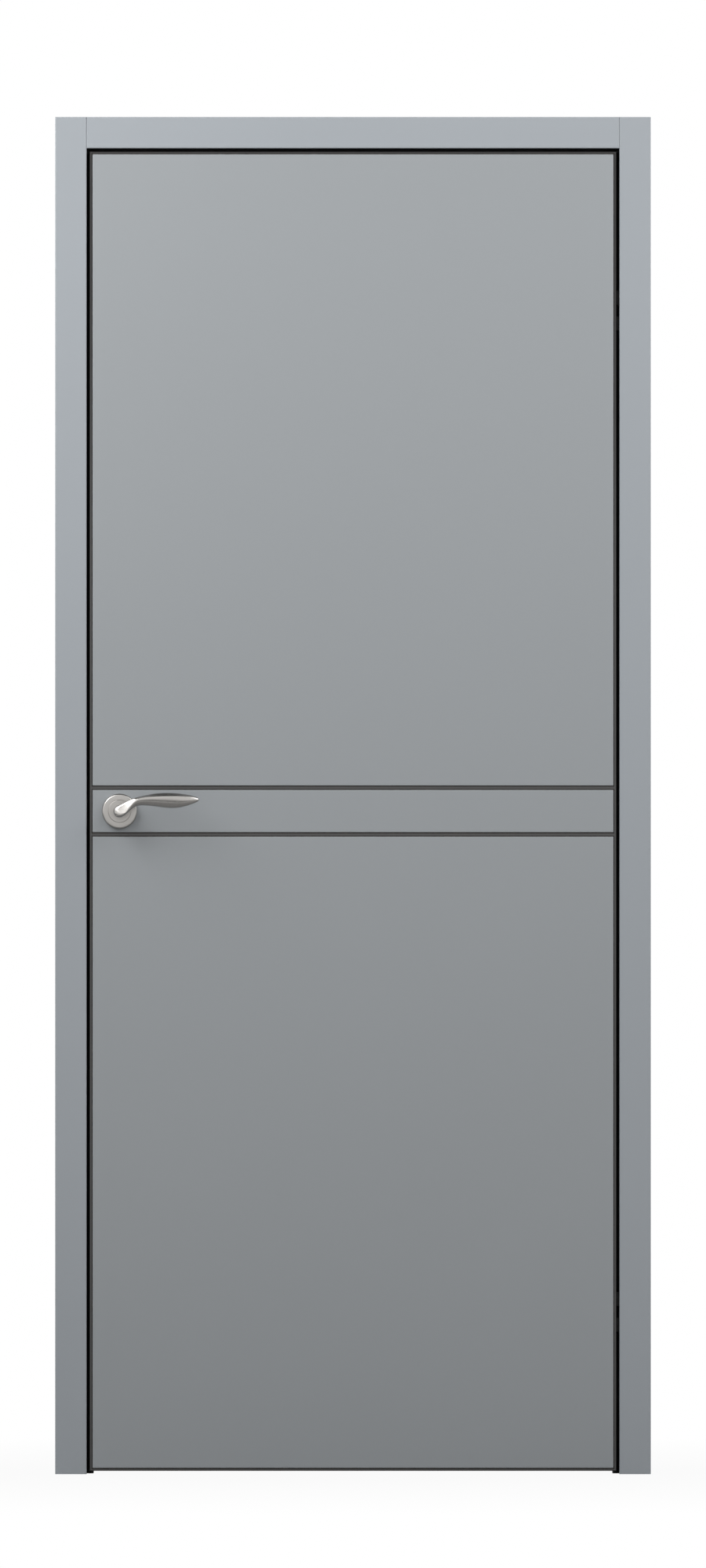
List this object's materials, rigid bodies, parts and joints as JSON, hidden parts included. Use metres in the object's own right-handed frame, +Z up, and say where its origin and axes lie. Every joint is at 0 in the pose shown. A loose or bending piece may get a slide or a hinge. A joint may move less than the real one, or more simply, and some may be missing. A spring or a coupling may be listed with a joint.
{
  "type": "interior door",
  "caption": "Flush grey interior door leaf in a cased frame, with black edge trims, two thin black inlay strips and a satin lever handle on a round rose.",
  "frame": {"origin": "on the wall side of the hinge jamb, at the floor, in the middle of the wall's thickness", "axes": "+X from the lock side to the hinge side, +Y through the wall away from the side that the leaf opens to, +Z up"},
  "size_m": [0.901, 0.1761, 2.054],
  "materials": {
    "grey_lacquer": "satin lacquer",
    "frame_lacquer": "satin lacquer",
    "core_board": "raw board",
    "black_trim": "anodised",
    "black_seal": "matte",
    "satin_nickel": "satin",
    "hinge_metal": "black coat",
    "black_plastic": "matte"
  },
  "bodies": {
    "frame": {"lock_jamb": "frame_lacquer", "hinge_jamb": "frame_lacquer", "head_jamb": "frame_lacquer", "lock_stop": "frame_lacquer", "hinge_stop": "frame_lacquer", "head_stop": "frame_lacquer", "lock_seal": "black_seal", "hinge_seal": "black_seal", "head_seal": "black_seal", "front_lock_casing": "frame_lacquer", "front_hinge_casing": "frame_lacquer", "front_head_casing": "frame_lacquer", "back_lock_casing": "frame_lacquer", "back_hinge_casing": "frame_lacquer", "back_head_casing": "frame_lacquer", "strike_plate": "satin_nickel", "strike_keeper": "black_plastic", "lower_hinge_frame_cup": "hinge_metal", "upper_hinge_frame_cup": "hinge_metal"},
    "leaf": {"leaf_core": "core_board", "front_lower_panel": "grey_lacquer", "front_band_panel": "grey_lacquer", "front_upper_panel": "grey_lacquer", "back_lower_panel": "grey_lacquer", "back_band_panel": "grey_lacquer", "back_upper_panel": "grey_lacquer", "front_lower_inlay": "black_trim", "front_upper_inlay": "black_trim", "back_lower_inlay": "black_trim", "back_upper_inlay": "black_trim", "lock_edge_trim": "black_trim", "hinge_edge_trim": "black_trim", "top_edge_trim": "black_trim", "bottom_edge_trim": "black_trim", "latch_faceplate": "satin_nickel", "latch_bolt": "black_plastic", "lower_hinge_leaf_cup": "hinge_metal", "upper_hinge_leaf_cup": "hinge_metal", "front_rose": "satin_nickel", "back_rose": "satin_nickel"},
    "hinge_arms": {"lower_hinge_arm": "hinge_metal", "upper_hinge_arm": "hinge_metal"},
    "lever_set": {"front_lever": "satin_nickel", "back_lever": "satin_nickel", "spindle": "satin_nickel"}
  },
  "joints": [
    {"name": "door_swing", "type": "hinge", "parent": "frame", "child": "leaf", "pos_m": [-0.0405, -0.0625, 1.0033], "axis": [0, 0, 1], "range_deg": [0, 100]},
    {"name": "hinge_arm_turn", "type": "hinge", "parent": "frame", "child": "hinge_arms", "pos_m": [-0.0405, -0.0625, 1.0033], "axis": [0, 0, 1], "range_deg": [0, 50]},
    {"name": "lever_turn", "type": "hinge", "parent": "leaf", "child": "lever_set", "pos_m": [-0.794, -0.038, 1.0033], "axis": [0, 1, 0], "range_deg": [0, 40], "stiffness_Nm_per_rad": 2, "springref_deg": -28.65}
  ],
  "couplings": [
    {"joint": "hinge_arm_turn", "follows": "door_swing", "ratio": 0.5}
  ]
}
